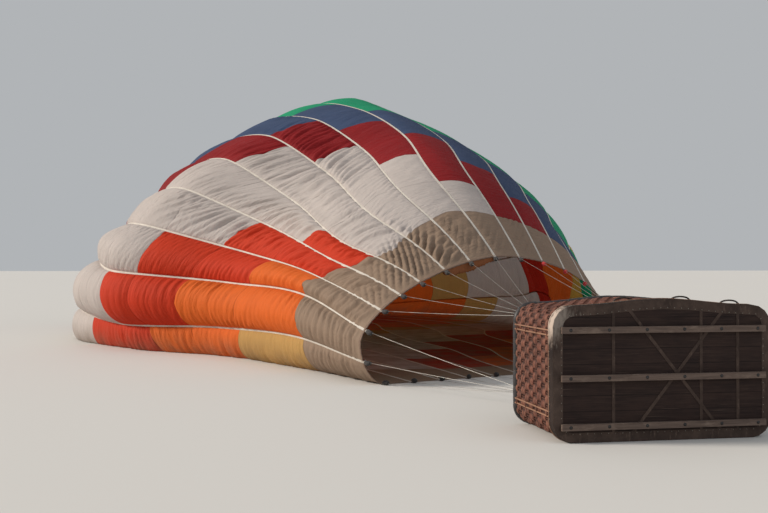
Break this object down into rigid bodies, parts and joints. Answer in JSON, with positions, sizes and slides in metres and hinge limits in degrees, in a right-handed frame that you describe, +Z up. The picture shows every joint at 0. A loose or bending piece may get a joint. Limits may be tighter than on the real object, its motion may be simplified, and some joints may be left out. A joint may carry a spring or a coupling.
{
  "type": "hot air balloon",
  "caption": "Hot air balloon lying on the ground during cold inflation, with a gored envelope, a wicker basket on its side and a gimballed burner.",
  "frame": {"origin": "middle of the ground that the balloon covers, on the ground", "axes": "+Z up, +Y from the basket towards the top of the envelope, +X towards the far side"},
  "size_m": [12.0178, 25.6957, 5.8645],
  "materials": {
    "cloth_orange": "woven nylon",
    "cloth_red": "woven nylon",
    "cloth_cream": "woven nylon",
    "cloth_crimson": "woven nylon",
    "cloth_blue": "woven nylon",
    "cloth_green": "woven nylon",
    "tape": "woven webbing",
    "wicker": "woven willow and cane",
    "board": "dark painted plywood",
    "runner_wood": "worn hardwood",
    "hide": "rawhide, scuffed",
    "leather": "dark padded leather",
    "rope": "laid rope",
    "steel": "stainless",
    "frame_metal": "stainless tube",
    "cylinder_metal": "bare aluminium"
  },
  "bodies": {
    "balloon": {"gore_01": "cloth_orange", "gore_02": "cloth_orange", "gore_03": "cloth_red", "gore_04": "cloth_red", "gore_05": "cloth_cream", "gore_06": "cloth_cream", "gore_07": "cloth_cream", "gore_08": "cloth_crimson", "gore_09": "cloth_crimson", "gore_10": "cloth_blue", "gore_11": "cloth_blue", "gore_12": "cloth_green", "gore_13": "cloth_orange", "gore_14": "cloth_orange", "gore_15": "cloth_red", "gore_16": "cloth_red", "gore_17": "cloth_cream", "gore_18": "cloth_cream", "gore_19": "cloth_cream", "gore_20": "cloth_crimson", "gore_21": "cloth_crimson", "gore_22": "cloth_blue", "gore_23": "cloth_blue", "gore_24": "cloth_green", "load_tapes": "tape", "crown_ring": "steel", "wall_high": "wicker", "wall_left": "wicker", "wall_low": "wicker", "wall_right": "wicker", "floor_board": "board", "base_hide": "hide", "rim_roll": "leather", "runner_1": "runner_wood", "runner_2": "runner_wood", "runner_3": "runner_wood", "floor_straps": "hide", "partition": "wicker", "fuel_cylinder_1": "cylinder_metal", "fuel_cylinder_2": "cylinder_metal", "fuel_cylinder_3": "cylinder_metal", "fuel_cylinder_4": "cylinder_metal", "rope_handle_1": "rope", "rope_handle_2": "rope", "rope_handle_3": "rope", "load_frame": "frame_metal", "upright_1": "leather", "upright_2": "leather", "upright_3": "leather", "upright_4": "leather", "flying_wires_near_low": "steel", "flying_wires_near_high": "steel", "flying_wires_far_high": "steel", "flying_wires_far_low": "steel"},
    "gimbal": {"gimbal_ring": "steel"},
    "burner": {"burner_block": "steel", "burner_can_1": "frame_metal", "burner_can_2": "frame_metal"},
    "valve": {"parachute_valve": "cloth_cream"}
  },
  "joints": [
    {"name": "gimbal_tilt", "type": "hinge", "parent": "balloon", "child": "gimbal", "pos_m": [1.12449, -10.75342, 0.635], "axis": [1, 0, 0], "range_deg": [-15, 15]},
    {"name": "burner_tilt", "type": "hinge", "parent": "gimbal", "child": "burner", "pos_m": [1.12449, -10.75342, 0.635], "axis": [0, 0, 1], "range_deg": [-15, 15]},
    {"name": "valve_pull", "type": "slide", "parent": "balloon", "child": "valve", "axis": [0.0785, -0.9969, 0], "range_m": [0, 0.8]}
  ]
}
